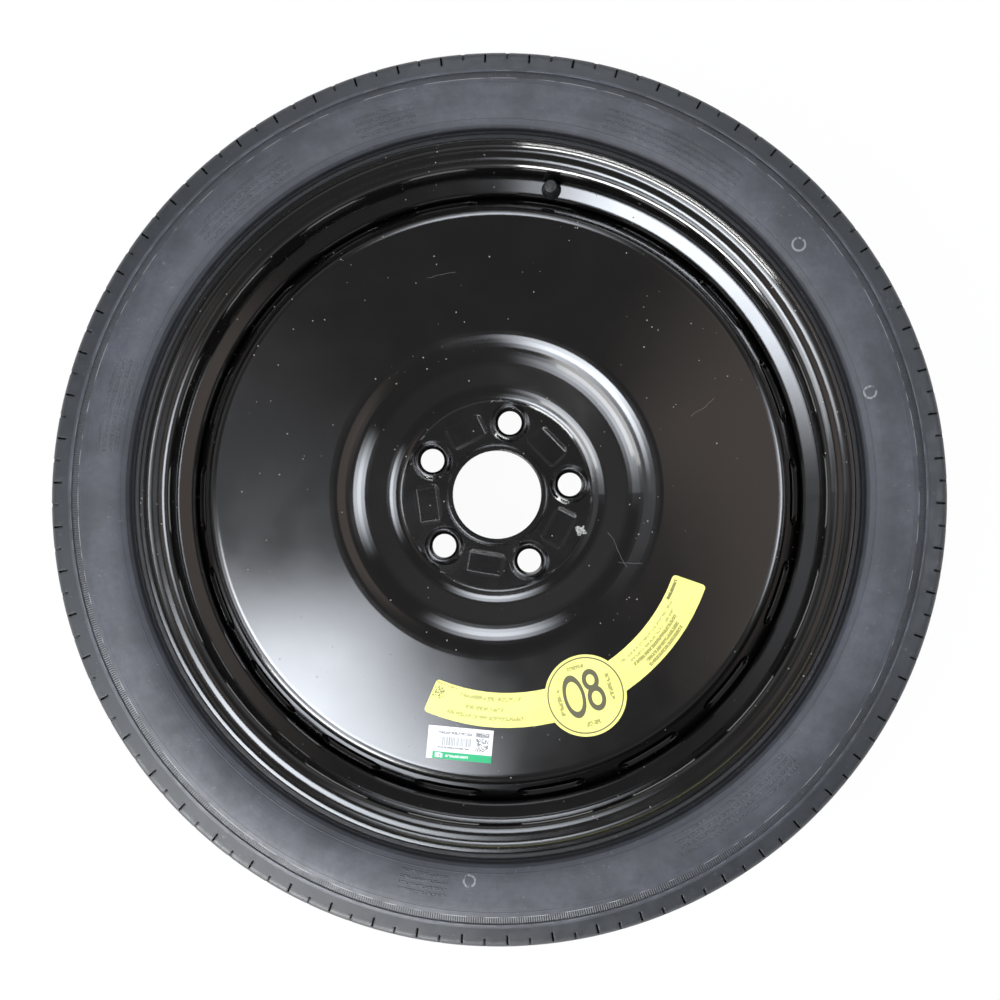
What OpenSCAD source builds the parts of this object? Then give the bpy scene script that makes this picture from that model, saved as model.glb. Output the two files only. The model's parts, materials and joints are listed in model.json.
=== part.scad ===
// Space saver spare wheel: a narrow tubeless tyre on a pressed steel wheel.
// The wheel lies flat. Its centre is the origin and +Z points out of the car side.

/* [Tyre] */
// Height of the tyre's section, from the bead seats to the tread
tyre_h = 87.5; // [83:0.5:96]
// Width of the tyre over the side walls
tyre_w = 126; // [122:0.5:136]
// Width of the tread between the shoulders
tread_w = 92; // [84:1:100]
// Radius of the bulge of each side wall
side_round = 45; // [40:1:60]
// Thickness of the rubber in the side walls
side_t = 6; // [5:0.5:8]
// Thickness of the rubber under the tread
crown_t = 9; // [8:0.5:11]
// Depth of the crease between the bead's ridge and the side wall
crease_depth = 4; // [1:0.5:5]
// Width of the bead where it sits on the rim
bead_w = 17; // [14:0.5:19]
// Depth of the grooves that run round the tread
groove_depth = 4.5; // [2:0.1:6]
// Width of the grooves that run round the tread
groove_w = 6.5; // [4:0.5:9]
// Distance from one round groove to the next
groove_pitch = 23; // [18:0.5:26]
// Number of tread blocks round the shoulder
blocks = 62; // [40:1:72]
// Width of the notches between the shoulder blocks, at their mouth
notch_w = 3.6; // [2:0.1:5]
// Depth of the notches, inwards from the edge of the shoulder
notch_depth = 2.2; // [1:0.1:3]
// Length of the closed cut in the middle of each shoulder block
cut_l = 7; // [4:0.5:8]
// Width of the cuts in the shoulder
cut_w = 1.4; // [0.8:0.1:2]
// Depth of the cuts in the shoulder, below its edge
cut_depth = 4; // [2:0.5:6]

/* [Rim] */
// Diameter of the bead seats
rim_d = 482.6; // [476:0.1:488]
// Width between the flanges
rim_w = 101.6; // [96:0.1:106]
// Thickness of the rolled rim sheet
rim_t = 2.2; // [1.8:0.1:3]
// Height of the flanges above the bead seats
flange_h = 16.4; // [15:0.1:18]
// Radius of the curl at the flange edge, on the tyre's side
curl_r = 7.6; // [6:0.1:8]
// Length of the straight lip beyond the curl
lip = 2.9; // [1:0.1:4]
// Radius of the bend between bead seat and flange, on the tyre's side
heel_r = 6.5; // [5:0.1:7]
// Depth of the well below the bead seats
well_depth = 14.6; // [13:0.1:16]
// Distance from the wheel's middle to the well's outer corner
well_out = 19.4; // [18:0.1:21]
// Distance from the wheel's middle to the well's inner corner
well_in = 17; // [15:0.1:19]
// Slope of the well's outer wall, in degrees from the wheel's plane
well_slope = 15; // [10:1:18]

/* [Disc] */
// Thickness of the pressed disc sheet
disc_t = 3.5; // [3:0.1:4.5]
// Distance from the wheel's middle to the mounting face
inset = 25; // [22:0.5:28]
// Diameter of the centre bore
bore_d = 65.1; // [60:0.1:67]
// Width of the raised collar round the centre bore
collar_w = 4.7; // [3:0.1:6]
// Height of the collar above the hub face
collar_h = 2; // [1:0.1:3]
// Diameter of the flat hub face
hub_d = 139.6; // [136:0.1:146]
// Height of the small step round the hub face
hub_step = 1.5; // [1:0.1:2]
// Diameter of the hollow round the hub, where it meets the disc's face
hollow_d = 214; // [208:1:224]
// Radius of the bend from the hollow to the disc's face
hollow_round = 46; // [30:1:50]
// Height of the disc's face above the mounting face, at the hollow
face_rise = 24.6; // [21:0.1:28]
// Drop of the disc's face from the hollow to its edge
face_fall = 2; // [0:0.1:4]
// Width of the slope between the disc's face and the well
skirt_w = 14.7; // [12:0.1:18]
// Radius of the bend at the edge of the disc's face
face_round = 7; // [4:0.5:9]
// Height of the weld flange that stands in the well
weld_flange = 24; // [20:0.5:26]
// Number of vent slots
slots = 18; // [12:1:20]
// Length of each vent slot
slot_l = 50; // [30:1:56]
// Height of each vent slot along the slope
slot_h = 18; // [10:0.5:20]
// Direction of the first vent slot
slot_a = 0.5; // [0:0.5:20]
// Number of weld beads between disc and rim
welds = 6; // [4:1:8]
// Angle that each weld bead covers
weld_arc = 34; // [20:1:42]
// Size of the weld beads' legs
weld_size = 3.6; // [3:0.1:4.5]
// Direction of the first weld bead's start
weld_a = 13; // [0:1:60]

/* [Bolts] */
// Number of wheel bolts
bolts = 5; // [4:1:5]
// Diameter of the circle through the bolt holes
bolt_circle = 108; // [106:1:112]
// Diameter of each bolt hole
bolt_d = 17.3; // [15:0.1:18]
// Diameter of the mouth of the cone seat in each bolt hole
seat_d = 21.6; // [20:0.1:23]
// Angle between the sides of the cone seats
seat_angle = 60; // [50:1:90]
// Diameter of the raised ring round each bolt hole
boss_d = 29; // [27:0.1:31]
// Height of the raised rings above the hub face
boss_h = 3.2; // [2:0.1:4]
// Diameter of the relief behind each bolt hole
relief_d = 24; // [22:0.1:26]
// Depth of the relief behind each bolt hole
relief_h = 1.2; // [0.5:0.1:1.6]
// Direction of the first bolt hole
bolt_a = 8; // [0:1:72]
// Length of the stamped windows between the bolt holes
window_l = 29; // [22:0.5:31]
// Width of the stamped windows
window_w = 18.5; // [14:0.5:20]
// Distance of the stamped windows from the wheel's centre
window_r = 51.5; // [50:0.5:52.5]
// Depth of the stamped windows
window_h = 1.6; // [0.6:0.1:2]

/* [Valve] */
// Direction of the valve hole
valve_a = 80; // [0:1:360]
// Lean of the valve towards the wheel's axis
valve_lean = 6; // [0:1:12]
// Diameter of the valve hole in the rim
valve_hole = 10.4; // [9.8:0.1:10.8]
// Diameter of the rubber foot outside the rim
foot_d = 14.4; // [13:0.1:15.5]
// Diameter of the rubber bulb inside the rim
bulb_d = 16.4; // [14:0.1:18]
// Length of the rubber bulb inside the rim
bulb_h = 11; // [10:0.5:13]
// Height of the rubber body outside the rim
rubber_h = 13.5; // [10:0.5:18]
// Diameter of the rubber body at its top
rubber_d = 10.8; // [10.4:0.1:12]
// Length of bare stem beyond the rubber
stem_l = 9.5; // [9:0.1:12]
// Diameter of the stem over its thread
stem_d = 7.7; // [7.4:0.1:8]
// Diameter of the stem inside the rubber
shank_d = 6.2; // [5.8:0.1:6.6]
// Diameter of the bore that holds the valve core
core_d = 5.2; // [5:0.1:5.4]
// Diameter of the air way below the valve core
air_d = 4.6; // [4.4:0.1:4.8]
// Length of the valve core's barrel
barrel_l = 6; // [5:0.1:7]
// Diameter of the valve pin
pin_d = 1.2; // [1:0.1:1.4]
// Outer diameter of the valve cap
cap_d = 10; // [9.6:0.1:11]
// Thickness of the top of the valve cap
cap_top = 1.6; // [1:0.1:2.5]
// Number of grip ribs round the valve cap
cap_ribs = 20; // [12:1:28]

/* [Stickers] */
// Thickness of the stickers
sticker_t = 0.25; // [0.15:0.05:0.5]
// Diameter of the round part of the yellow sticker
round_d = 59; // [50:1:64]
// Distance of the arms' centre from the wheel's centre
arc_off = 19; // [10:0.5:20]
// Width of the arms of the yellow sticker
arm_w = 25; // [18:1:28]
// Half of the angle that the arms cover
arm_half = 47; // [30:1:55]
// Direction of the round part from the wheel's centre
yellow_a = -66.2; // [-80:0.1:-50]
// Length of the white sticker
white_l = 47; // [35:1:52]
// Width of the white sticker
white_w = 23.5; // [15:0.5:26]
// Direction of the white sticker from the wheel's centre
white_a = -98.2; // [-110:0.1:-95]
// Gap between the two stickers
sticker_gap = 3.1; // [1:0.1:6]
// Twist of the white sticker from square to the radius
white_turn = 3; // [-5:1:5]

/* [Hidden] */
$fn = 96;

// Finish colours
rubber_grey = [0.22, 0.23, 0.25];
steel_black = [0.10, 0.095, 0.09];
weld_black = [0.14, 0.13, 0.125];
valve_rubber = [0.13, 0.13, 0.13];
brass = [0.78, 0.62, 0.34];
nickel = [0.72, 0.72, 0.70];
seal_red = [0.55, 0.12, 0.10];
cap_black = [0.16, 0.16, 0.17];
yellow = [0.97, 0.96, 0.55];
white = [0.93, 0.93, 0.92];

// Small clearances
bead_gap = 0.1;
weld_gap = 0.1;
touch = 0.02;
neck_gap = 0.05;
thread_gap = 0.15;
bend_step = 9;
sheet_run = 3;

// Radii and heights of the rim
seat_r = rim_d / 2;
flange_r = seat_r + flange_h;
wall_z = rim_w / 2;
curl_c = [flange_r - curl_r, wall_z + curl_r];
lip_z = curl_c[1] + lip;
seat_slope = 5;
seat_w = 20;
hump = 1;
well_r = seat_r - well_depth;
well_mid = well_r - rim_t / 2;
well_inner = well_r - rim_t;

// A corner is [x, y, radius]. These functions turn a row of corners into a smooth outline.
function xy(p) = [p[0], p[1]];
function unit(v) = v / norm(v);
function left(v) = [-v[1], v[0]];
function cross2(a, b) = a[0] * b[1] - a[1] * b[0];
function arc(c, r, a0, a1, step = bend_step) =
    let (n = max(1, ceil(abs(a1 - a0) / step)))
    [for (i = [0:n]) let (a = a0 + (a1 - a0) * i / n) c + r * [cos(a), sin(a)]];
function bend(p, q, s, run) =
    let (
        a = unit(xy(p) - xy(q)),
        b = unit(xy(s) - xy(q)),
        half = acos(max(-1, min(1, a * b))) / 2,
        c = xy(q) + unit(a + b) * q[2] / sin(half),
        start = xy(q) + a * q[2] / tan(half) - c,
        a0 = atan2(start[1], start[0]),
        sweep = (180 - 2 * half) * sign(cross2(-a, b))
    )
    arc(c, q[2], a0, a0 + sweep, min(bend_step, run / q[2] * 180 / PI));
function smooth_path(p, run = 50) = [
    each [xy(p[0])],
    for (i = [1:len(p) - 2]) each (p[i][2] > 0 ? bend(p[i - 1], p[i], p[i + 1], run) : [xy(p[i])]),
    each [xy(p[len(p) - 1])]
];
function smooth_loop(p) = let (n = len(p)) [
    for (i = [0:n - 1]) each (p[i][2] > 0 ? bend(p[(i + n - 1) % n], p[i], p[(i + 1) % n], 50) : [xy(p[i])])
];
function reversed(p) = [for (i = [len(p) - 1:-1:0]) p[i]];
function flipped(p) = [for (q = reversed(p)) [q[0], -q[1]]];
function tail(p) = [for (i = [1:len(p) - 1]) p[i]];

// The path moved sideways by d, to the left of its direction, with its bends kept concentric.
function beside(p, d) = [
    for (i = [0:len(p) - 1])
        let (
            last = len(p) - 1,
            a = unit(xy(p[min(i + 1, last)]) - xy(p[min(i, last - 1)])),
            b = unit(xy(p[max(i, 1)]) - xy(p[max(i - 1, 0)])),
            shift = (left(a) + left(b)) / (1 + left(a) * left(b)),
            turn = sign(cross2(b, a))
        )
        [p[i][0] + d * shift[0], p[i][1] + d * shift[1], max(0, p[i][2] - d * turn)]
];
function layer(p, d0, d1) =
    concat(smooth_path(beside(p, d1), sheet_run), reversed(smooth_path(beside(p, d0), sheet_run)));
function sheet(p, t) = layer(p, -t / 2, t / 2);

// Middle line of the rim sheet, from the outer lip to the inner one
seat_mid = seat_r - rim_t / 2;
seat_end = wall_z - seat_w;
seat_drop = seat_w * tan(seat_slope);
well_top = well_out + (seat_mid - hump - well_mid) * tan(well_slope);
half_flange = [
    [flange_r - rim_t / 2, lip_z, 0],
    [flange_r - rim_t / 2, wall_z + rim_t / 2, curl_r - rim_t / 2],
    [seat_mid, wall_z + rim_t / 2, heel_r + rim_t / 2],
    [seat_mid - seat_drop, seat_end, 4],
    [seat_mid - seat_drop + hump, seat_end - 4, 4]
];
rim_path = concat(
    half_flange,
    [[seat_mid - hump, well_top, 3.5], [well_mid, well_out, 3.5], [well_mid, -well_in, 8],
        [seat_mid - seat_drop + hump / 2, 4 - seat_end, 6]],
    [for (i = [3:-1:0]) [half_flange[i][0], -half_flange[i][1], half_flange[i][2]]]
);

// Outline of the tyre's section. The outer half runs from the toe of the bead to the crown.
crown_r = seat_r + tyre_h;
toe_z = wall_z - bead_w;
toe_r = seat_r - bead_w * tan(seat_slope) + bead_gap;
hug = 80;
hug_r = curl_r + bead_gap;
ridge_z = lip_z - 2.1;
crease_r = flange_r + 5.5;
band_r = flange_r + 10.7;
buttress_r = crown_r - 16.6;
serrated_r = buttress_r - 8.6;
bulge_r = (band_r + serrated_r) / 2 - 3;
bulge_c = [bulge_r, tyre_w / 2 - side_round];
function side_z(r) = bulge_c[1] + sqrt(side_round * side_round - (r - bulge_r) * (r - bulge_r));
function side_a(r) = acos((r - bulge_r) / side_round);
shoulder_z = tread_w / 2;
serrated_z = side_z(serrated_r) - 0.5;
buttress_z = serrated_z - 4.5;
outer_half = concat(
    smooth_path([
        [toe_r + 3, toe_z - 0.5, 0],
        [toe_r, toe_z, 1],
        [seat_r + bead_gap, wall_z - bead_gap, heel_r - bead_gap],
        [curl_c[0] + hug_r * tan(hug / 2), wall_z - bead_gap, hug_r],
        [flange_r + 0.9, ridge_z, 0.7],
        [crease_r - 1.6, ridge_z, 0.7],
        [crease_r + 0.6, ridge_z - crease_depth, 0.8],
        [band_r - 0.4, side_z(band_r) - 0.9, 0]
    ]),
    arc(bulge_c, side_round, side_a(band_r), side_a(serrated_r), 5),
    smooth_path([
        [serrated_r + 0.5, serrated_z, 0],
        [buttress_r - 2.9, buttress_z + 1, 0],
        [buttress_r - 2.6, buttress_z + 1.8, 0],
        [buttress_r - 0.3, buttress_z + 0.7, 0],
        [buttress_r, buttress_z, 0],
        [crown_r - 2.6, shoulder_z + 2, 7],
        [crown_r - 0.8, shoulder_z / 2, 90],
        [crown_r, 0, 0]
    ])
);
// The wall keeps its rubber under the crease, however far the side wall bulges
under_crease = min(side_z(band_r) - side_t - 2, ridge_z - crease_depth - 2.5);
inner_half = smooth_path([
    [crown_r - crown_t, 0, 0],
    [crown_r - crown_t - 1.4, shoulder_z - 14, 14],
    [buttress_r - 2, buttress_z - side_t - 3, 14],
    [bulge_r + 6, tyre_w / 2 - side_t + 0.6, 24],
    [band_r + 1, under_crease, 14],
    [flange_r - 4, toe_z + 8, 12],
    [toe_r + 6, toe_z, 3],
    [toe_r + 3, toe_z - 0.5, 0]
]);

// Notches part the shoulder blocks, and each block has a closed cut in its middle
shoulder_r = crown_r - 2.4;
cut_web = 2;
module notch() {
    deep = shoulder_r - notch_depth;
    flare = (notch_w - cut_w) / 2 / notch_depth;
    high = crown_r + 1;
    half = cut_w / 2;
    wide = half + (high - deep) * flare;
    polygon([[deep - 4, half], [deep - 4, -half], [deep, -half], [high, -wide], [high, wide], [deep, half]]);
}
module tyre_cuts() {
    for (i = [0:blocks - 1], side = [0, 1]) mirror([0, 0, side])
        translate([0, 0, shoulder_z - cut_depth])
            linear_extrude(height = tyre_w / 2 - shoulder_z + cut_depth) {
                rotate((i + 0.25) * 360 / blocks) notch();
                rotate((i + 0.75) * 360 / blocks)
                    translate([shoulder_r - cut_web - cut_l / 2, 0]) square([cut_l, cut_w], center = true);
            }
}

module round_groove(z) {
    taper = groove_w * 0.14;
    rotate_extrude()
        polygon([
            [crown_r - groove_depth, z - groove_w / 2 + taper],
            [crown_r + 1, z - groove_w / 2 - taper],
            [crown_r + 1, z + groove_w / 2 + taper],
            [crown_r - groove_depth, z + groove_w / 2 - taper]
        ]);
}

module tyre() {
    outline = concat(outer_half, tail(flipped(outer_half)), tail(flipped(inner_half)), tail(inner_half));
    color(rubber_grey) difference() {
        rotate_extrude() polygon(outline);
        for (z = [-groove_pitch, 0, groove_pitch]) round_groove(z);
        tyre_cuts();
    }
}

// The valve stands on the well's outer wall
valve_r = well_mid + 6.2;
valve_z = well_out + (valve_r - well_mid) * tan(well_slope) + rim_t / 2 / cos(well_slope);
module at_valve() {
    rotate([0, 0, valve_a]) translate([valve_r, 0, valve_z]) rotate([0, -valve_lean, 0]) children();
}

module rim() {
    color(steel_black) difference() {
        rotate_extrude() polygon(sheet(rim_path, rim_t));
        at_valve() translate([0, 0, -rim_t - 3]) cylinder(d = valve_hole, h = rim_t + 6);
    }
}

// Middle line of the disc sheet, from the bore to the end of the weld flange
hub_z = inset + disc_t / 2;
face_z = hub_z + face_rise - 2;
edge_z = face_z - face_fall;
skirt_r = well_inner - weld_gap - disc_t / 2;
skirt_z = well_out - 6;
face_r = skirt_r - skirt_w;
skirt_a = atan2(skirt_w, edge_z - skirt_z);
disc_path = [
    [bore_d / 2, hub_z, 0],
    [hub_d / 2, hub_z, 1.5],
    [hub_d / 2 + 1.5, hub_z + hub_step, 2],
    [hub_d / 2 + 8, hub_z + hub_step + 1.4, 26],
    [hollow_d / 2, face_z, hollow_round],
    [face_r, edge_z, face_round],
    [skirt_r, skirt_z, 9],
    [skirt_r, skirt_z - weld_flange, 0]
];
front_z = inset + disc_t;

module around_hub(r, a0) {
    for (i = [0:bolts - 1]) rotate([0, 0, a0 + i * 360 / bolts]) translate([r, 0, 0]) children();
}

module bolt_boss() {
    rotate_extrude()
        polygon(smooth_loop([
            [0, front_z - disc_t / 2, 0],
            [boss_d / 2 + 1, front_z - disc_t / 2, 0],
            [boss_d / 2 + 1, front_z - 0.2, 0],
            [boss_d / 2, front_z, 1],
            [seat_d / 2 + 1.2, front_z + boss_h, 1.6],
            [seat_d / 2 - 0.4, front_z + boss_h, 0],
            [0, front_z + boss_h, 0]
        ]));
}

module bolt_hole() {
    seat_depth = (seat_d - bolt_d) / 2 / tan(seat_angle / 2);
    top = front_z + boss_h;
    translate([0, 0, inset - 5]) cylinder(d = bolt_d, h = boss_h + disc_t + 10);
    translate([0, 0, top - seat_depth])
        cylinder(d1 = bolt_d, d2 = bolt_d + (seat_d - bolt_d) * 2, h = seat_depth * 2);
    translate([0, 0, inset - 1]) cylinder(d = relief_d, h = relief_h + 1);
}

// A stamped window is a shallow tray with round corners and sloping sides
module window() {
    slope = 2.4;
    above = 1;
    corner = 6;
    module run(length, width) {
        linear_extrude(height = width, center = true)
            polygon(smooth_path([
                [-length / 2, above, 0],
                [-length / 2, 0, 0],
                [-length / 2 + slope, -window_h, 1],
                [length / 2 - slope, -window_h, 1],
                [length / 2, 0, 0],
                [length / 2, above, 0]
            ]));
    }
    translate([0, 0, front_z]) intersection() {
        rotate([90, 0, 0]) run(window_w, window_l + 1);
        rotate([90, 0, 90]) run(window_l, window_w + 1);
        linear_extrude(height = 4 * window_h, center = true)
            polygon(smooth_loop([for (c = [[-1, -1], [1, -1], [1, 1], [-1, 1]])
                [c[0] * window_w / 2, c[1] * window_l / 2, corner]]));
    }
}

module slot_cutter() {
    flat = slot_l - slot_h;
    mid = (skirt_z + edge_z) / 2 - 2;
    mid_r = skirt_r - (mid - skirt_z) * tan(skirt_a);
    translate([mid_r, 0, mid]) rotate([0, 90 - skirt_a, 0])
        linear_extrude(height = 8 * disc_t, center = true)
            union() {
                square([slot_h, flat], center = true);
                for (s = [-1, 1]) translate([0, s * flat / 2]) circle(d = slot_h);
            }
}

module bore_collar() {
    rotate_extrude()
        polygon(smooth_loop([
            [bore_d / 2 - 1, inset, 0],
            [bore_d / 2 + collar_w, inset, 0],
            [bore_d / 2 + collar_w, front_z + collar_h, 1.2],
            [bore_d / 2 - 1, front_z + collar_h, 0]
        ]));
}

module disc() {
    color(steel_black) difference() {
        union() {
            difference() {
                rotate_extrude() polygon(sheet(disc_path, disc_t));
                around_hub(window_r, bolt_a + 180 / bolts) window();
            }
            bore_collar();
            around_hub(bolt_circle / 2, bolt_a) bolt_boss();
        }
        translate([0, 0, inset - 1]) cylinder(d = bore_d, h = disc_t + collar_h + 2);
        translate([0, 0, front_z + collar_h - 0.8])
            cylinder(d1 = bore_d, d2 = bore_d + 3.2, h = 1.6);
        around_hub(bolt_circle / 2, bolt_a) bolt_hole();
        for (i = [0:slots - 1]) rotate([0, 0, slot_a + i * 360 / slots]) slot_cutter();
    }
}

// Fillet welds join the end of the disc's flange to the well
module weld_beads() {
    skew = 0.6;
    edge = asin(skew / (weld_size + skew));
    low = skirt_z - weld_flange;
    color(weld_black) for (i = [0:welds - 1])
        rotate([0, 0, i * 360 / welds + weld_a])
            rotate_extrude(angle = weld_arc, start = 0)
                polygon(concat(
                    [[well_inner - touch, low - touch]],
                    arc([well_inner - touch + skew, low - touch + skew], weld_size + skew,
                        180 + edge, 270 - edge, 12)
                ));
}

// Room for the valve's rubber on the outer and the inner side of the rim, as revolved outlines
seat_in = seat_mid - seat_drop - rim_t / 2 - neck_gap;
function wall_top(r) = well_out + (r - well_mid) * tan(well_slope) + rim_t / 2 / cos(well_slope);
function wall_low(r) = wall_top(r) - rim_t / cos(well_slope);
module outer_room() {
    corner = 3;
    low = well_r - 30;
    rotate_extrude()
        polygon([
            [low, wall_top(low) + neck_gap],
            [seat_in - corner, wall_top(seat_in - corner) + neck_gap],
            [seat_in, wall_top(seat_in) + corner],
            [seat_in, lip_z],
            [low, lip_z]
        ]);
}
module inner_room() {
    corner = 2;
    high = seat_r + 30;
    rotate_extrude()
        polygon([
            [well_r + neck_gap, 0],
            [high, 0],
            [high, wall_low(high) - neck_gap],
            [well_r + corner, wall_low(well_r + corner) - neck_gap],
            [well_r + neck_gap, wall_low(well_r) - corner]
        ]);
}

stem_low = -bulb_h - 0.5;
module valve_body() {
    foot = foot_d / 2;
    bulb = bulb_d / 2;
    below = 3;
    color(valve_rubber) difference() {
        union() {
            intersection() {
                outer_room();
                at_valve() rotate_extrude()
                    polygon(smooth_loop([
                        [0, -below, 0],
                        [foot, -below, 0],
                        [foot, below, 1],
                        [foot - 1.2, rubber_h / 2, 3],
                        [rubber_d / 2, rubber_h - 3, 3],
                        [rubber_d / 2, rubber_h, 0.8],
                        [0, rubber_h, 0]
                    ]));
            }
            intersection() {
                inner_room();
                at_valve() rotate_extrude()
                    polygon(smooth_loop([
                        [0, -bulb_h, 0],
                        [bulb - 3, -bulb_h, 1.5],
                        [bulb, -bulb_h * 0.6, 2.5],
                        [bulb - 1, 1, 0],
                        [0, 1, 0]
                    ]));
            }
            at_valve() translate([0, 0, -rim_t - below])
                cylinder(d = valve_hole - 2 * neck_gap, h = rim_t + 2 * below);
        }
        at_valve() translate([0, 0, stem_low - 1]) cylinder(d = shank_d, h = rubber_h - stem_low + 2);
    }
}

// Heights along the valve, from the well's wall outwards
stem_top = rubber_h + stem_l;
core_top = stem_top - 0.4;
barrel_low = core_top - barrel_l;
spring_d = 3.4;
spring_wire = 0.4;
barrel_bore = spring_d + 2 * spring_wire;
seal_top = barrel_low - 0.05;

module tube(r0, r1, z0, z1) {
    rotate_extrude() polygon([[r0, z0], [r1, z0], [r1, z1], [r0, z1]]);
}

module valve_stem() {
    color(brass) at_valve() rotate_extrude()
        polygon([
            [air_d / 2, stem_low],
            [shank_d / 2, stem_low],
            [shank_d / 2, rubber_h],
            [stem_d / 2, rubber_h],
            [stem_d / 2, stem_top - 0.7],
            [stem_d / 2 - 0.7, stem_top],
            [core_d / 2, stem_top],
            [core_d / 2, barrel_low],
            [air_d / 2, barrel_low - 0.5]
        ]);
}

// The barrel is open at the top round the pin and has a thin floor that the seal closes
module core_barrel() {
    color(brass) at_valve() rotate_extrude()
        polygon([
            [pin_d / 2 + 0.35, barrel_low],
            [core_d / 2 - 0.35, barrel_low],
            [core_d / 2 - 0.35, barrel_low + 2.4],
            [core_d / 2 - 0.05, barrel_low + 2.4],
            [core_d / 2 - 0.05, core_top - 0.3],
            [core_d / 2 - 0.35, core_top],
            [barrel_bore / 2, core_top],
            [barrel_bore / 2, barrel_low + 0.8],
            [pin_d / 2 + 0.35, barrel_low + 0.8]
        ]);
}

module core_gasket() {
    color(seal_red) at_valve()
        tube(core_d / 2 - 0.35, core_d / 2, barrel_low + 1, barrel_low + 2.4);
}

module core_pin() {
    cup_r = air_d / 2 - 0.45;
    color(nickel) at_valve() rotate_extrude()
        polygon([
            [0, seal_top - 2.2],
            [cup_r, seal_top - 2.2],
            [cup_r, seal_top - 0.5],
            [pin_d / 2 + 0.3, seal_top - 0.5],
            [pin_d / 2 + 0.3, seal_top - 0.9],
            [pin_d / 2, seal_top - 0.9],
            [pin_d / 2, core_top - 1],
            [spring_d / 2, core_top - 1],
            [spring_d / 2, core_top - 0.5],
            [pin_d / 2, core_top - 0.5],
            [pin_d / 2, stem_top - 0.25],
            [0, stem_top - 0.1]
        ]);
}

module core_seal() {
    color(seal_red) at_valve() tube(pin_d / 2 + 0.3, air_d / 2 - 0.45, seal_top - 0.5, seal_top);
}

// A close coil of round wire, swept along a helix
function ring_point(k, t, r, turns, z0, rise, w) =
    let (a = 360 * turns * t, b = 60 * k)
    [(r + w * cos(b)) * cos(a), (r + w * cos(b)) * sin(a), z0 + rise * t + w * sin(b)];
module core_spring() {
    turns = 5;
    rings = turns * 12;
    low = barrel_low + 0.8 + spring_wire / 2;
    rise = core_top - 1 - spring_wire / 2 - low;
    points = [for (i = [0:rings], k = [0:5])
        ring_point(k, i / rings, spring_d / 2 - 0.2, turns, low, rise, spring_wire / 2 - 0.01)];
    sides = [for (i = [0:rings - 1], k = [0:5])
        let (j = (k + 1) % 6) [i * 6 + k, i * 6 + j, i * 6 + 6 + j, i * 6 + 6 + k]];
    color(nickel) at_valve()
        polyhedron(points, concat(sides, [[5, 4, 3, 2, 1, 0], [for (k = [0:5]) rings * 6 + k]]));
}

cap_low = rubber_h + 0.4;
seal_t = 0.9;
cap_room = stem_top + 0.1 + seal_t;
module valve_cap() {
    inner = stem_d / 2 + thread_gap;
    rib = 0.35;
    color(cap_black) at_valve() union() {
        rotate_extrude()
            polygon(smooth_loop([
                [inner, cap_low, 0],
                [cap_d / 2 - rib, cap_low, 0.4],
                [cap_d / 2 - rib, cap_room + cap_top, 1.4],
                [2.6, cap_room + cap_top, 0],
                [2.2, cap_room + cap_top + 0.5, 0.3],
                [0, cap_room + cap_top + 0.5, 0],
                [0, cap_room, 0],
                [inner, cap_room, 0]
            ]));
        for (i = [0:cap_ribs - 1]) rotate([0, 0, i * 360 / cap_ribs])
            translate([cap_d / 2 - rib - 0.4, -0.3, cap_low + 0.6])
                cube([rib + 0.4, 0.6, cap_room + cap_top - 2.2 - cap_low]);
    }
}

module cap_seal() {
    color(seal_red) at_valve() tube(core_d / 2 - 0.2, stem_d / 2, cap_room - seal_t, cap_room);
}

// Stickers lie on the disc's face as a thin layer over its outline
module on_face() {
    intersection() {
        translate([0, 0, front_z]) linear_extrude(height = face_rise + 8) children();
        rotate_extrude() polygon(layer(disc_path, disc_t / 2, disc_t / 2 + sticker_t));
    }
}

// Both stickers share out the room that they leave on the disc's face
spare = face_r - hollow_d / 2 - arm_w - sticker_gap - white_w;
outer_share = 0.26;
round_off = 1.2;
arm_in = hollow_d / 2 + (1 - outer_share) * spare - arc_off * cos(yellow_a - white_a);
arm_out = arm_in + arm_w;
white_r = face_r - outer_share * spare - white_w / 2;
module yellow_sticker() {
    corner = arm_w / 10;
    out_a = arm_half - asin(corner / (arm_out - corner));
    in_a = arm_half - asin(corner / (arm_in + corner));
    function turn(r, a, from) = arc(r * [cos(a), sin(a)], corner, a + from, a + from + 90, 30);
    color(yellow) on_face() rotate(yellow_a) translate([arc_off, 0]) {
        polygon(concat(
            arc([0, 0], arm_out, -out_a, out_a, 4),
            turn(arm_out - corner, out_a, 0),
            turn(arm_in + corner, in_a, 90),
            arc([0, 0], arm_in, in_a, -in_a, 4),
            turn(arm_in + corner, -in_a, 180),
            turn(arm_out - corner, -out_a, 270)
        ));
        translate([arm_in + arm_w / 2 + round_off, 0]) circle(d = round_d);
    }
}

module white_sticker() {
    color(white) on_face() rotate(white_a) translate([white_r, 0]) rotate(white_turn)
        square([white_w, white_l], center = true);
}

tyre();
rim();
disc();
weld_beads();
valve_body();
valve_stem();
core_barrel();
core_gasket();
core_pin();
core_seal();
core_spring();
valve_cap();
cap_seal();
yellow_sticker();
white_sticker();
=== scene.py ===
import bpy
import functools
import json
import math
from mathutils import Matrix, Vector


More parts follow.
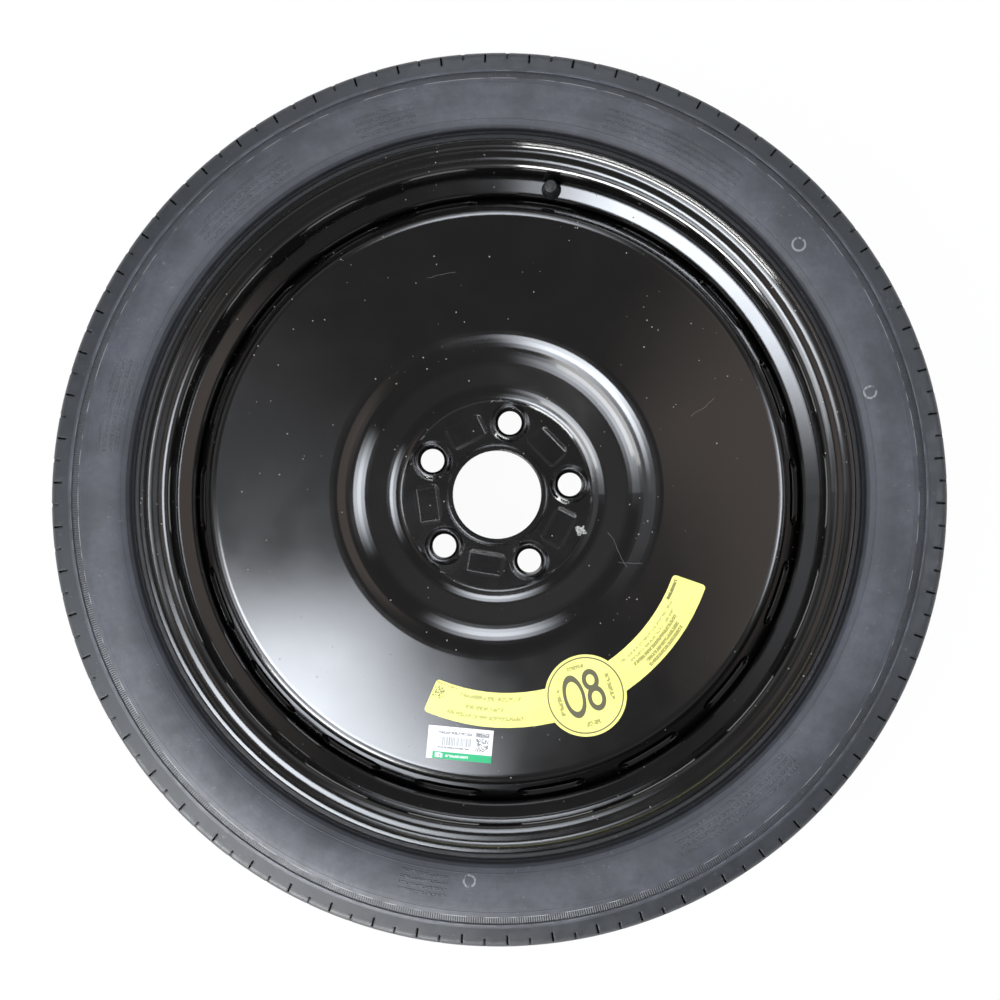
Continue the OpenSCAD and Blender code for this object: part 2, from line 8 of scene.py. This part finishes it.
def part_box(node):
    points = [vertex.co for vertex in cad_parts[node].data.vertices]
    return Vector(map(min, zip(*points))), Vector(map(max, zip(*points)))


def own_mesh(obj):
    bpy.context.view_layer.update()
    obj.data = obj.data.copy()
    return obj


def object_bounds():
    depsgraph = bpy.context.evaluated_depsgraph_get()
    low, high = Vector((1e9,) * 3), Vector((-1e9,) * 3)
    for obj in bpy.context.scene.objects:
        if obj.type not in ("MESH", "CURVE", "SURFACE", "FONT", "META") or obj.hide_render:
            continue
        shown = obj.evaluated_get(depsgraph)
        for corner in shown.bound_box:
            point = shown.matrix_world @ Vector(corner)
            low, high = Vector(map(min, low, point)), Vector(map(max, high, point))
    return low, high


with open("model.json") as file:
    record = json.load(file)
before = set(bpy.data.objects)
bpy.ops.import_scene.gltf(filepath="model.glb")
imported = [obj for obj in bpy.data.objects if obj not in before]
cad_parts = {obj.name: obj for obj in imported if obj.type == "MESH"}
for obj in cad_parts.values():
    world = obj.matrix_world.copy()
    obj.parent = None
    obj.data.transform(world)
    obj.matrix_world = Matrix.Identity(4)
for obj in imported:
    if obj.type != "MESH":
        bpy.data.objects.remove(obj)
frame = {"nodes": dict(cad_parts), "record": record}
cad_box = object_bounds()
scene = bpy.context.scene
MM = 0.001
face_z = 20.0  # mm: the disc's outer face lies above this height


# Fields: sums of shader nodes written as plain arithmetic

class Field:
    """A value inside one material, with arithmetic that adds Math nodes."""

    def __init__(self, tree, socket):
        self.tree = tree
        self.socket = socket

    def _math(self, op, *others, clamp=False):
        n = self.tree.nodes.new("ShaderNodeMath")
        n.operation = op
        n.use_clamp = clamp
        for slot, value in zip(n.inputs, (self,) + others):
            if isinstance(value, Field):
                self.tree.links.new(value.socket, slot)
            else:
                slot.default_value = value
        return Field(self.tree, n.outputs[0])

    def __add__(self, o):
        return self._math("ADD", o)

    def __radd__(self, o):
        return self._math("ADD", o)

    def __sub__(self, o):
        return self._math("SUBTRACT", o)

    def __rsub__(self, o):
        return (self * -1.0)._math("ADD", o)

    def __mul__(self, o):
        return self._math("MULTIPLY", o)

    def __rmul__(self, o):
        return self._math("MULTIPLY", o)

    def __truediv__(self, o):
        return self._math("DIVIDE", o)

    def __neg__(self):
        return self * -1.0

    def abs(self):
        return self._math("ABSOLUTE")

    def sqrt(self):
        return self._math("SQRT")

    def fract(self):
        return self._math("FRACT")

    def floor(self):
        return self._math("FLOOR")

    def least(self, o):
        return self._math("MINIMUM", o)

    def most(self, o):
        return self._math("MAXIMUM", o)

    def clamp(self):
        return self._math("ADD", 0.0, clamp=True)

    def ramp(self, low, high, to_low=0.0, to_high=1.0):
        """Runs from to_low at low to to_high at high, and stays flat outside."""
        n = self.tree.nodes.new("ShaderNodeMapRange")
        n.interpolation_type = "SMOOTHSTEP"
        self.tree.links.new(self.socket, n.inputs["Value"])
        n.inputs["From Min"].default_value = low
        n.inputs["From Max"].default_value = high
        n.inputs["To Min"].default_value = to_low
        n.inputs["To Max"].default_value = to_high
        return Field(self.tree, n.outputs["Result"])


def both(a, b):
    return a.least(b)


def either(a, b):
    return a.most(b)


def near(value, centre, half, soft, top=1.0):
    """The top value where value is within half of centre, falling to 0 over soft."""
    return (value - centre).abs().ramp(half, half + soft, top, 0.0)


def step_up(value, edge, soft):
    """0 below the edge and 1 above it, over the width soft."""
    return value.ramp(edge - soft / 2, edge + soft / 2)


class Surface:
    """One node material, with its coordinates in millimetres in the object's own space."""

    def __init__(self, name):
        self.mat = bpy.data.materials.new(name)
        self.mat.use_nodes = True
        self.tree = self.mat.node_tree
        self.shader = self.tree.nodes["Principled BSDF"]
        coord = self.tree.nodes.new("ShaderNodeTexCoord")
        scale = self.tree.nodes.new("ShaderNodeVectorMath")
        scale.operation = "SCALE"
        scale.inputs["Scale"].default_value = 1 / MM
        self.tree.links.new(coord.outputs["Object"], scale.inputs[0])
        self.point = scale.outputs[0]
        parts = self.tree.nodes.new("ShaderNodeSeparateXYZ")
        self.tree.links.new(self.point, parts.inputs[0])
        self.x, self.y, self.z = (Field(self.tree, parts.outputs[i]) for i in range(3))
        self.r = (self.x * self.x + self.y * self.y).sqrt()

    def along(self, x, y):
        """The point's distance along a direction in the plane of the wheel."""
        n = self.tree.nodes.new("ShaderNodeVectorMath")
        n.operation = "DOT_PRODUCT"
        self.tree.links.new(self.point, n.inputs[0])
        n.inputs[1].default_value = (x, y, 0.0)
        return Field(self.tree, n.outputs["Value"])

    def angle(self):
        """Direction round the wheel's axis, in degrees from -180 to 180."""
        return self.y._math("ARCTAN2", self.x) * (180 / math.pi)

    def combine(self, x, y, z):
        """A vector from numbers or fields."""
        n = self.tree.nodes.new("ShaderNodeCombineXYZ")
        for slot, value in zip(n.inputs, (x, y, z)):
            if isinstance(value, Field):
                self.tree.links.new(value.socket, slot)
            else:
                slot.default_value = value
        return n.outputs[0]

    def noise(self, size, detail=2.0, rough=0.5, vector=None):
        """Noise from 0 to 1 whose grains are about size millimetres."""
        n = self.tree.nodes.new("ShaderNodeTexNoise")
        n.inputs["Scale"].default_value = 1.0 / size
        n.inputs["Detail"].default_value = detail
        n.inputs["Roughness"].default_value = rough
        self.tree.links.new(vector or self.point, n.inputs["Vector"])
        return Field(self.tree, n.outputs["Fac"])

    def cells(self, size):
        """Distance from the nearest of points about size millimetres apart, in sizes."""
        n = self.tree.nodes.new("ShaderNodeTexVoronoi")
        n.inputs["Scale"].default_value = 1.0 / size
        self.tree.links.new(self.point, n.inputs["Vector"])
        return Field(self.tree, n.outputs["Distance"])

    def mix(self, fac, a, b):
        """Colour a where fac is 0, colour b where it is 1; inputs 6 and 7 are the node's two colours."""
        n = self.tree.nodes.new("ShaderNodeMix")
        n.data_type = "RGBA"
        self.tree.links.new(fac.socket, n.inputs[0])
        for slot, value in ((n.inputs[6], a), (n.inputs[7], b)):
            if isinstance(value, (tuple, list)):
                slot.default_value = (*value, 1.0)
            else:
                self.tree.links.new(value, slot)
        return n.outputs[2]

    def soft_normal(self, radius):
        """The normal with edges rounded by radius millimetres."""
        n = self.tree.nodes.new("ShaderNodeBevel")
        n.samples = 2
        n.inputs["Radius"].default_value = radius * MM
        return n.outputs[0]

    def bump(self, height, depth, normal=None):
        """Height runs from 0 to 1 and stands for depth millimetres."""
        n = self.tree.nodes.new("ShaderNodeBump")
        n.inputs["Strength"].default_value = 1.0
        n.inputs["Distance"].default_value = depth * MM
        self.tree.links.new(height.socket, n.inputs["Height"])
        if normal is not None:
            self.tree.links.new(normal, n.inputs["Normal"])
        return n.outputs[0]

    def set(self, name, value):
        """Sets or links one input of the shader."""
        slot = self.shader.inputs[name]
        if isinstance(value, Field):
            self.tree.links.new(value.socket, slot)
        elif isinstance(value, bpy.types.NodeSocket):
            self.tree.links.new(value, slot)
        elif isinstance(value, (tuple, list)):
            slot.default_value = (*value, 1.0)
        else:
            slot.default_value = value


def srgb(r, g, b):
    """Linear colour from one written in 0 to 255."""
    out = []
    for c in (r, g, b):
        c /= 255
        out.append(c / 12.92 if c <= 0.04045 else ((c + 0.055) / 1.055) ** 2.4)
    return tuple(out)


# Materials

def black_paint():
    """Gloss black paint with dust, a chip and hair scratches."""
    s = Surface("black_paint")
    soft = s.soft_normal(1.1)
    specks = s.cells(7.0)
    fine = specks.ramp(0.045, 0.065, 1.0, 0.0) * step_up(s.noise(3.1, 1.0), 0.56, 0.04)
    coarse = specks.ramp(0.075, 0.09, 1.0, 0.0) * step_up(s.noise(23.0, 1.0), 0.56, 0.06)
    dust = either(fine * 0.5, coarse)
    worn = paint_chip(s)
    hair = scratches(s)
    base = s.mix(s.noise(60.0, 2.0), srgb(12, 11, 11), srgb(18, 16, 15))
    base = s.mix(dust * 0.55, base, srgb(165, 158, 150))
    base = s.mix(hair * 0.17, base, srgb(170, 160, 165))
    bared = s.mix(s.noise(1.5, 3.0).ramp(0.35, 0.65), srgb(88, 88, 86), srgb(176, 176, 170))
    base = s.mix(worn, base, bared)
    s.set("Base Color", base)
    s.set("Roughness", s.noise(30.0, 2.0).ramp(0.3, 0.7, 0.10, 0.14) + dust * 0.4 + worn * 0.45)
    peel = s.noise(9.0, 1.0) - worn * 2.0
    s.set("Normal", s.bump(peel, 0.008, soft))
    s.set("Coat Normal", soft)
    s.set("Specular IOR Level", 0.9)
    s.set("Coat Weight", 1.0 - either(worn, dust * 0.8))
    s.set("Coat IOR", 1.6)
    s.set("Coat Roughness", 0.05)
    return s.mat


def paint_chip(s):
    """A patch by the hub where the paint has flaked off."""
    u, v = turned(s, 61.6, -26.4, -28.0)
    wobble = (s.noise(2.4, 2.0) - 0.5) * 1.5
    body = (u / 5.4).abs() + (v / 3.6).abs() + wobble
    return (body.ramp(0.92, 1.04, 1.0, 0.0) * step_up(s.z, face_z, 1.0)).clamp()


def scratches(s):
    """Swaying hair scratches on the disc's face: centre, direction and half length."""
    sway = (s.noise(16.0, 2.0) - 0.5) * 5.0
    marks = []
    for x, y, degrees, reach in ((88, -41, -62, 13), (97, -51, -10, 7), (150, 62, 38, 9), (-40, 160, 12, 9)):
        u, v = turned(s, x, y, degrees)
        marks.append(both(near(v + sway, 0.0, 0.12, 0.22), near(u, 0.0, reach, 3.0)))
    return functools.reduce(either, marks) * step_up(s.z, face_z, 1.0)


def painted_weld():
    """Rippled weld bead under thin paint."""
    s = Surface("painted_weld")
    ripple = (s.angle() * 3.1 + s.noise(6.0) * 1.5).fract()
    ripple = (ripple - 0.5).abs() * 2.0
    s.set("Base Color", s.mix(s.noise(3.0), srgb(30, 27, 25), srgb(48, 43, 38)))
    s.set("Roughness", s.noise(4.0).ramp(0.3, 0.7, 0.3, 0.5))
    s.set("Coat Weight", 0.3)
    s.set("Normal", s.bump(ripple * 0.6 + s.noise(1.2, 3.0) * 0.8, 0.35, s.soft_normal(1.0)))
    return s.mat


def tyre_rubber():
    """Dusty rubber with moulded rings, fine ribs, small print and crayon marks on the side wall; painted
    shade in the crease by the rim and in the serrated band, and painted highlights on two ring edges.
    """
    side_z, tread_r, ribs_round = 47.0, 312.5, 1180
    s = Surface("tyre_rubber")
    a = s.angle()
    on_side = step_up(s.z.abs(), side_z, 2.0)
    serrated = both(near(s.r, 306.7, 2.6, 0.5), on_side)
    tread = step_up(s.r, tread_r, 1.0)
    crease = near(s.r, 262.4, 3.2, 1.6)
    inner = s.r.ramp(268.0, 278.0, 1.0, 0.0)
    cloud = s.noise(38.0, 3.0, 0.6)
    mottle = s.noise(5.0, 2.0, 0.6)
    base = s.mix(cloud.ramp(0.3, 0.7), srgb(60, 62, 67), srgb(76, 78, 86))
    base = s.mix(mottle.ramp(0.35, 0.7) * 0.30, base, srgb(50, 52, 55))
    base = s.mix(inner * on_side * 0.5, base, srgb(48, 50, 56))
    # Painted shade: the recessed serrated band is darkened
    base = s.mix(serrated * 0.55, base, srgb(44, 46, 49))
    base = s.mix(tread * 0.85, base, srgb(45, 47, 50))
    # Painted shade: the crease between the rim's flange and the side wall is darkened
    base = s.mix(crease * on_side * 0.9, base, srgb(16, 16, 18))
    chalk = step_up(s.noise(3.2, 3.0, 0.7), 0.66, 0.05) * step_up(s.noise(45.0, 1.0), 0.52, 0.1)
    base = s.mix(chalk * 0.25, base, srgb(130, 132, 136))
    # Painted highlights: thin light lines on two ring edges of the side wall, broken at random
    highlight_breaks = step_up(s.noise(14.0, 1.0), 0.50, 0.12)
    rings = near(s.r, 303.9, 0.12, 0.25) + near(s.r, 310.3, 0.10, 0.2) * 0.4
    base = s.mix((rings * on_side * highlight_breaks * 0.6).clamp(), base, srgb(170, 172, 176))
    base = s.mix(crayon_marks(s) * on_side, base, srgb(178, 182, 184))
    s.set("Base Color", base)
    s.set("Roughness", s.noise(8.0, 2.0).ramp(0.3, 0.7, 0.42, 0.56) - tread * 0.06)
    s.set("Specular IOR Level", 0.55)
    ribs = ((a * (ribs_round / 360)).fract() - 0.5).abs() * 2.0
    grain = s.noise(0.9, 3.0, 0.6) * 0.22
    rings_up = ((s.r * 0.9).fract() - 0.5).abs() * near(s.r, 258.6, 1.0, 0.2)
    mould = near(s.r, 300.4, 0.25, 0.2) * 0.5 + near(s.r, 272.5, 0.3, 0.25) * 0.6 + small_print(s, a)
    height = serrated * ribs * 0.6 + grain + (rings_up * 0.8 + mould) * on_side
    s.set("Normal", s.bump(height, 0.45, s.soft_normal(1.8)))
    return s.mat


def crayon_marks(s):
    """Faint painted rings on the side wall: centre and radius."""
    marks = []
    for x, y, size in ((219.0, 178.5, 4.6), (269.0, 71.0, 4.2), (-18.6, -277.5, 4.0)):
        u, v = turned(s, x, y, 0.0)
        marks.append(near((u * u + v * v).sqrt(), size, 0.45, 0.5) * step_up(s.noise(2.2, 2.0), 0.42, 0.1))
    return (functools.reduce(either, marks) * 0.42).clamp()


def small_print(s, a):
    """Raised rows of uneven dashes where the side wall carries small print."""
    inner_r, pitch, middle_r = 274.75, 4.5, 283.75
    rows = near(((s.r - inner_r) / pitch).fract(), 0.5, 0.2, 0.07)
    reach = near(s.r, middle_r, 8.0, 0.5)
    arcs = [a._math("COMPARE", (low + high) / 2, (high - low) / 2)
            for low, high in ((52, 74), (102, 111), (122, 139), (160, 174), (-104, -97), (-63, -42))]
    return both(rows, reach) * functools.reduce(either, arcs) * step_up(s.noise(1.9, 1.0, 0.4), 0.46, 0.1)


def plain(name, low, high, rough, metal=0.0):
    """Fine-grained finish of the valve's small pieces."""
    s = Surface(name)
    s.set("Base Color", s.mix(s.noise(3.0, 3.0).ramp(0.3, 0.7), low, high))
    s.set("Roughness", s.noise(2.0, 2.0).ramp(0.3, 0.7, rough, rough + 0.12))
    s.set("Metallic", metal)
    s.set("Normal", s.bump(s.noise(1.0, 3.0), 0.05, s.soft_normal(0.6)))
    return s.mat


def film(name, colour, shade):
    """The sticker film and the colour of its bare paper."""
    s = Surface(name)
    s.set("Roughness", s.noise(12.0, 2.0).ramp(0.3, 0.7, 0.30, 0.42))
    s.set("Coat Weight", 0.25)
    s.set("Coat Roughness", 0.15)
    crease = s.noise(22.0, 2.0) * 0.8 + s.noise(1.4, 2.0) * 0.08
    s.set("Normal", s.bump(crease, 0.25))
    paper = s.mix(s.noise(30.0, 3.0).ramp(0.3, 0.7), colour, shade)
    return s, paper


def turned(s, cx, cy, degrees):
    """Coordinates from a centre, in a frame turned by degrees."""
    c, n = math.cos(math.radians(degrees)), math.sin(math.radians(degrees))
    return s.along(c, n) - (cx * c + cy * n), s.along(-n, c) - (cy * c - cx * n)


def bar(u, v, cu, cv, half_u, half_v, soft):
    return both(near(u, cu, half_u, soft), near(v, cv, half_v, soft))


def oval_ring(u, v, cu, cv, a, b, line, soft=0.3):
    """An upright oval outline with half axes a and b to the middle of its line."""
    du, dv = (u - cu) / a, (v - cv) / b
    rho = (du * du + dv * dv).sqrt()
    return near(rho, 1.0, line / (a + b), soft / a)


def broken(s, amount, pitch):
    """Gaps of uneven length, so that a bar reads as a line of small print."""
    return step_up(s.noise(pitch, 1.0, 0.4), amount, 0.08)


def lines_of_print(along, across, rows, words):
    """Rows of uneven dashes that stand for small print: (across, from, to, half height)."""
    bars = [bar(along, across, (low + high) / 2, at, (high - low) / 2, half, 0.3)
            for at, low, high, half in rows]
    return functools.reduce(either, bars) * words


def code_block(s, u, v, cu, cv, half, cell):
    """A square of small light and dark cells."""
    grid = s.combine((u / cell).floor() * 3.7, (v / cell).floor() * 5.3, 0.0)
    dark = step_up(s.noise(1.0, 0.0, vector=grid), 0.5, 0.02)
    return bar(u, v, cu, cv, half, half, 0.15) * dark


def yellow_film():
    """Yellow sticker: figures on the round field, rows of small print on the two arms."""
    round_at, figures_turn, arms_turn = (64.56, -146.37), 16.0, -66.2
    arm_off, arm_mid = 19.0, 139.8
    heading_of_arms = math.radians(arms_turn)
    arm_centre = (arm_off * math.cos(heading_of_arms), arm_off * math.sin(heading_of_arms))
    s, paper = film("yellow_film", srgb(250, 247, 140), srgb(243, 240, 130))
    u, v = turned(s, *round_at, figures_turn)
    rho = (u * u + v * v).sqrt()
    ring = near(rho, 27.1, 0.35, 0.3)
    zero = oval_ring(u, v, -8.1, 1.2, 6.6, 13.4, 3.2)
    eight = either(
        oval_ring(u, v, 6.3, 9.9, 4.5, 5.9, 3.2),
        oval_ring(u, v, 7.3, -4.0, 5.0, 7.2, 3.2),
    )
    bold = either(either(ring, zero), eight)
    small = lines_of_print(u, v, [(21.2, -8, 4, 1.2), (-20.5, -5, 5, 1.5)], broken(s, 0.42, 1.3))
    upright = lines_of_print(v, u, [(-19.0, -10, 9, 1.3), (18.6, -8, 11, 1.3)], broken(s, 0.45, 1.6))
    p, q = turned(s, *arm_centre, arms_turn)
    out = (p * p + q * q).sqrt()
    along = q._math("ARCTAN2", p) * arm_mid
    far = along.abs() - 27.0
    outside = step_up(far, 4.5, 0.5)
    deg = arm_mid * math.pi / 180
    fine = lines_of_print(along, out, [
        (146.3, -40.8 * deg, -18.7 * deg, 1.3),
        (139.7, -35.9 * deg, -24.8 * deg, 1.3),
        (132.2, -38.6 * deg, -19.4 * deg, 1.3),
        (129.3, -46.9 * deg, -40.0 * deg, 0.6),
        (137.4, 17.0 * deg, 36.9 * deg, 0.8),
        (133.5, 14.2 * deg, 40.0 * deg, 0.8),
    ], broken(s, 0.46, 1.5))
    heavy = lines_of_print(along, out, [
        (148.7, 20.1 * deg, 34.1 * deg, 1.15),
        (145.1, 20.5 * deg, 34.4 * deg, 1.15),
        (141.0, 17.0 * deg, 35.9 * deg, 1.15),
    ], broken(s, 0.38, 1.2))
    mark = lines_of_print(along, out, [(130.6, 39.0 * deg, 45.6 * deg, 1.0)], broken(s, 0.36, 1.0))
    block = code_block(s, along, out, -45.0 * deg, 135.8, 4.0, 0.9)
    base = s.mix((fine * outside * 0.62).clamp(), paper, srgb(120, 116, 70))
    base = s.mix((heavy * outside * 0.75).clamp(), base, srgb(112, 106, 58))
    base = s.mix((either(mark, block) * outside * 0.85).clamp(), base, srgb(84, 80, 58))
    base = s.mix((either(small, upright) * 0.7).clamp(), base, srgb(104, 100, 62))
    base = s.mix((bold * 0.95).clamp(), base, srgb(72, 68, 60))
    s.set("Base Color", base)
    return s.mat


def white_film():
    """White sticker with a green band, a code block and rows of small print."""
    label_at, label_turn = (-26.15, -181.5), -5.2
    s, paper = film("white_film", srgb(240, 240, 240), srgb(230, 231, 232))
    u, v = turned(s, *label_at, label_turn)
    band = step_up(-v, 6.5, 0.3) * step_up(u, -19.2, 0.3)
    top = lines_of_print(u, v, [(7.4, -15.6, 8.0, 0.8)], broken(s, 0.45, 1.0))
    title = lines_of_print(u, v, [(7.6, 11.0, 20.6, 1.4)], broken(s, 0.4, 1.0))
    stripes = step_up(s.noise(0.55, 1.0, vector=s.combine(u, 0.0, 0.0)), 0.5, 0.1)
    code = bar(u, v, -3.8, 1.3, 11.8, 3.0, 0.2) * stripes
    under = lines_of_print(u, v, [(-3.3, -16.0, 7.0, 0.45)], broken(s, 0.4, 0.8))
    block = code_block(s, u, v, 16.1, 0.4, 4.6, 0.85)
    base = s.mix((either(either(top, under), code) * 0.75).clamp(), paper, srgb(70, 72, 76))
    base = s.mix((either(title, block) * 0.8).clamp(), base, srgb(66, 68, 72))
    base = s.mix(band, base, srgb(10, 170, 110))
    pale = lines_of_print(u, v, [(-9.2, -9.5, 6.5, 0.7)], broken(s, 0.42, 1.0))
    patch = bar(u, v, -14.6, -9.0, 2.6, 1.6, 0.4) * broken(s, 0.4, 1.6)
    base = s.mix((either(pale, patch) * 0.8).clamp(), base, srgb(232, 240, 236))
    s.set("Base Color", base)
    return s.mat


finishes = {
    "tyre_rubber": tyre_rubber(),
    "black_paint": black_paint(),
    "painted_weld": painted_weld(),
    "valve_rubber": plain("valve_rubber", srgb(30, 30, 31), srgb(44, 44, 45), 0.5),
    "valve_brass": plain("valve_brass", (0.55, 0.38, 0.14), (0.68, 0.50, 0.22), 0.22, 1.0),
    "seal_rubber": plain("seal_rubber", srgb(120, 26, 20), srgb(150, 36, 28), 0.5),
    "pin_steel": plain("pin_steel", (0.5, 0.5, 0.48), (0.62, 0.62, 0.6), 0.25, 1.0),
    "cap_plastic": plain("cap_plastic", srgb(34, 34, 35), srgb(48, 48, 49), 0.36),
    "yellow_film": yellow_film(),
    "white_film": white_film(),
}
slot_of = {s["node"]: s["material_slot"] for s in frame["record"]["subparts"]}
for name, obj in frame["nodes"].items():
    finish = finishes[slot_of[name]]
    obj.data.materials.clear()
    obj.data.materials.append(finish)


# Stage, light and camera

def pale_floor():
    """White to the camera, but with a painted shadow: dark in the closed space behind the disc, where no
    light reaches.
    """
    s = Surface("pale_floor")
    ground = s.tree.nodes.new("ShaderNodeBsdfDiffuse")
    light = s.tree.nodes.new("ShaderNodeEmission")
    light.inputs["Strength"].default_value = 1.0
    path = s.tree.nodes.new("ShaderNodeLightPath")
    seen = either(Field(s.tree, path.outputs["Is Camera Ray"]), Field(s.tree, path.outputs["Is Glossy Ray"]))
    seen = either(seen, Field(s.tree, path.outputs["Is Transmission Ray"]))
    painted_shadow_ring = near(s.r, 185.0, 70.0, 12.0)  # the ring of floor under the disc, painted dark as the disc's shadow
    share = seen * (1.0 - painted_shadow_ring) * 0.96
    s.tree.links.new(s.mix(painted_shadow_ring, (0.86, 0.86, 0.86), (0.02, 0.02, 0.02)), ground.inputs["Color"])
    mix = s.tree.nodes.new("ShaderNodeMixShader")
    s.tree.links.new(share.socket, mix.inputs[0])
    s.tree.links.new(ground.outputs[0], mix.inputs[1])
    s.tree.links.new(light.outputs[0], mix.inputs[2])
    s.tree.links.new(mix.outputs[0], s.tree.nodes["Material Output"].inputs["Surface"])
    return s.mat


def floor():
    """A round floor just below the tyre."""
    mesh = bpy.data.meshes.new("floor")
    n, radius, z = 64, 6.0, cad_box[0][2] - 0.0002
    turns = [2 * math.pi * i / n for i in range(n)]
    ring = [(radius * math.cos(t), radius * math.sin(t), z) for t in turns]
    mesh.from_pydata(ring, [], [list(range(n))])
    obj = bpy.data.objects.new("floor", mesh)
    mesh.materials.append(pale_floor())
    scene.collection.objects.link(obj)


floor()

# The room: dim, with soft bright patches where the photo's reflections come from, and white to the camera
world = bpy.data.worlds.new("studio")
scene.world = world
world.use_nodes = True
wt = world.node_tree
wt.nodes.clear()
coord = wt.nodes.new("ShaderNodeTexCoord")
sep = wt.nodes.new("ShaderNodeSeparateXYZ")
wt.links.new(coord.outputs["Generated"], sep.inputs[0])
east, north, up = (Field(wt, sep.outputs[i]) for i in range(3))
off_axis = up._math("ARCCOSINE") * (180 / math.pi)
heading = north._math("ARCTAN2", east) * (180 / math.pi)


def glow(azimuth, half, soft, low, high, edge, level):
    """A soft bright patch, in degrees: half wide each side of the azimuth, from low to high off the axis."""
    middle, whole = 180.0, 360.0
    turn = (heading + (middle + 2 * whole - azimuth))._math("MODULO", whole)
    return near(turn, middle, half, soft, level) * near(off_axis, (low + high) / 2, (high - low) / 2, edge)


room = up.ramp(0.0, 0.65, 0.34, 0.085)
window = glow(218, 16, 31, 11, 19, 7, 9.0) + glow(190, 30, 35, 11, 30, 7, 0.25)
window = window + glow(216, 12, 36, 42, 47, 12, 4.0)
window = window + glow(92, 4, 25, 42, 47, 12, 6.0)
window = window + glow(4, 4, 26, 42, 47, 12, 6.0)
lamp = glow(15, 30, 30, 9, 20, 5, 0.30)


def tinted(level, rgb):
    """A colour as bright as level."""
    n = wt.nodes.new("ShaderNodeVectorMath")
    n.operation = "SCALE"
    n.inputs[0].default_value = rgb
    wt.links.new(level.socket, n.inputs["Scale"])
    return n.outputs[0]


def summed(a, b):
    """The sum of two colours."""
    n = wt.nodes.new("ShaderNodeVectorMath")
    wt.links.new(a, n.inputs[0])
    wt.links.new(b, n.inputs[1])
    return n.outputs[0]


light = summed(tinted(window, (0.93, 0.98, 1.06)), tinted(lamp, (1.15, 0.95, 0.85)))
light = summed(light, tinted(room, (1.0, 1.0, 1.0)))
path = wt.nodes.new("ShaderNodeLightPath")
colour = wt.nodes.new("ShaderNodeMix")
colour.data_type = "RGBA"
wt.links.new(path.outputs["Is Camera Ray"], colour.inputs[0])
wt.links.new(light, colour.inputs[6])
colour.inputs[7].default_value = (1.0, 1.0, 1.0, 1.0)
back = wt.nodes.new("ShaderNodeBackground")
wt.links.new(colour.outputs[2], back.inputs["Color"])
back.inputs["Strength"].default_value = 1.0
end = wt.nodes.new("ShaderNodeOutputWorld")
wt.links.new(back.outputs[0], end.inputs[0])


def softbox(name, azimuth, tilt, distance, width, depth, watts):
    """A flat softbox towards the azimuth, tilted that far off the axis, turned to the wheel."""
    data = bpy.data.lights.new(name, "AREA")
    data.shape = "RECTANGLE"
    data.size, data.size_y = width, depth
    data.energy = watts
    obj = bpy.data.objects.new(name, data)
    a, t = math.radians(azimuth), math.radians(tilt)
    out = distance * math.sin(t)
    obj.location = (out * math.cos(a), out * math.sin(a), distance * math.cos(t))
    obj.rotation_mode = "QUATERNION"
    obj.rotation_quaternion = (-obj.location).to_track_quat("-Z", "Y")
    scene.collection.objects.link(obj)
    return obj


softbox("main", 212, 30, 1.6, 0.8, 0.4, 3)
softbox("top", 75, 42, 1.6, 1.4, 0.9, 11).visible_glossy = False
softbox("low_left", 238, 76, 1.5, 1.4, 0.5, 33)

cam_data = bpy.data.cameras.new("camera")
cam = bpy.data.objects.new("camera", cam_data)
scene.collection.objects.link(cam)
cam_data.lens = 70.1  # fitted, with the place below, to four rings of the photo
cam_data.sensor_width = 36.0
cam.location = (0.0457, -0.0939, 1.460)
looked_at = Vector((0.0022, -0.0040, 0.030))
cam.rotation_mode = "QUATERNION"
ahead = (looked_at - cam.location).normalized()
across = ahead.cross(Vector((0.0, 1.0, 0.0))).normalized()
cam.rotation_quaternion = Matrix((across, across.cross(ahead), -ahead)).transposed().to_quaternion()
cam_data.clip_start, cam_data.clip_end = 0.05, 50.0
scene.camera = cam
scene.view_settings.view_transform = "Standard"

# The spring of the valve core shortens towards its fixed foot as the pin is pressed 1.5 mm; here its foot is
# found along the press axis and it gets a mesh of its own
press = next(j for j in frame["record"]["behaviour"]["joints"] if j["name"] == "pin_press")
spring_l, pressed = 0.0042, 0.0016
middle = [sum(ends) / 2 for ends in zip(*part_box("core_spring"))]
foot = [m + a * spring_l / 2 for m, a in zip(middle, press["axis"])]
spring = bpy.data.objects["core_spring"]
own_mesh(spring)
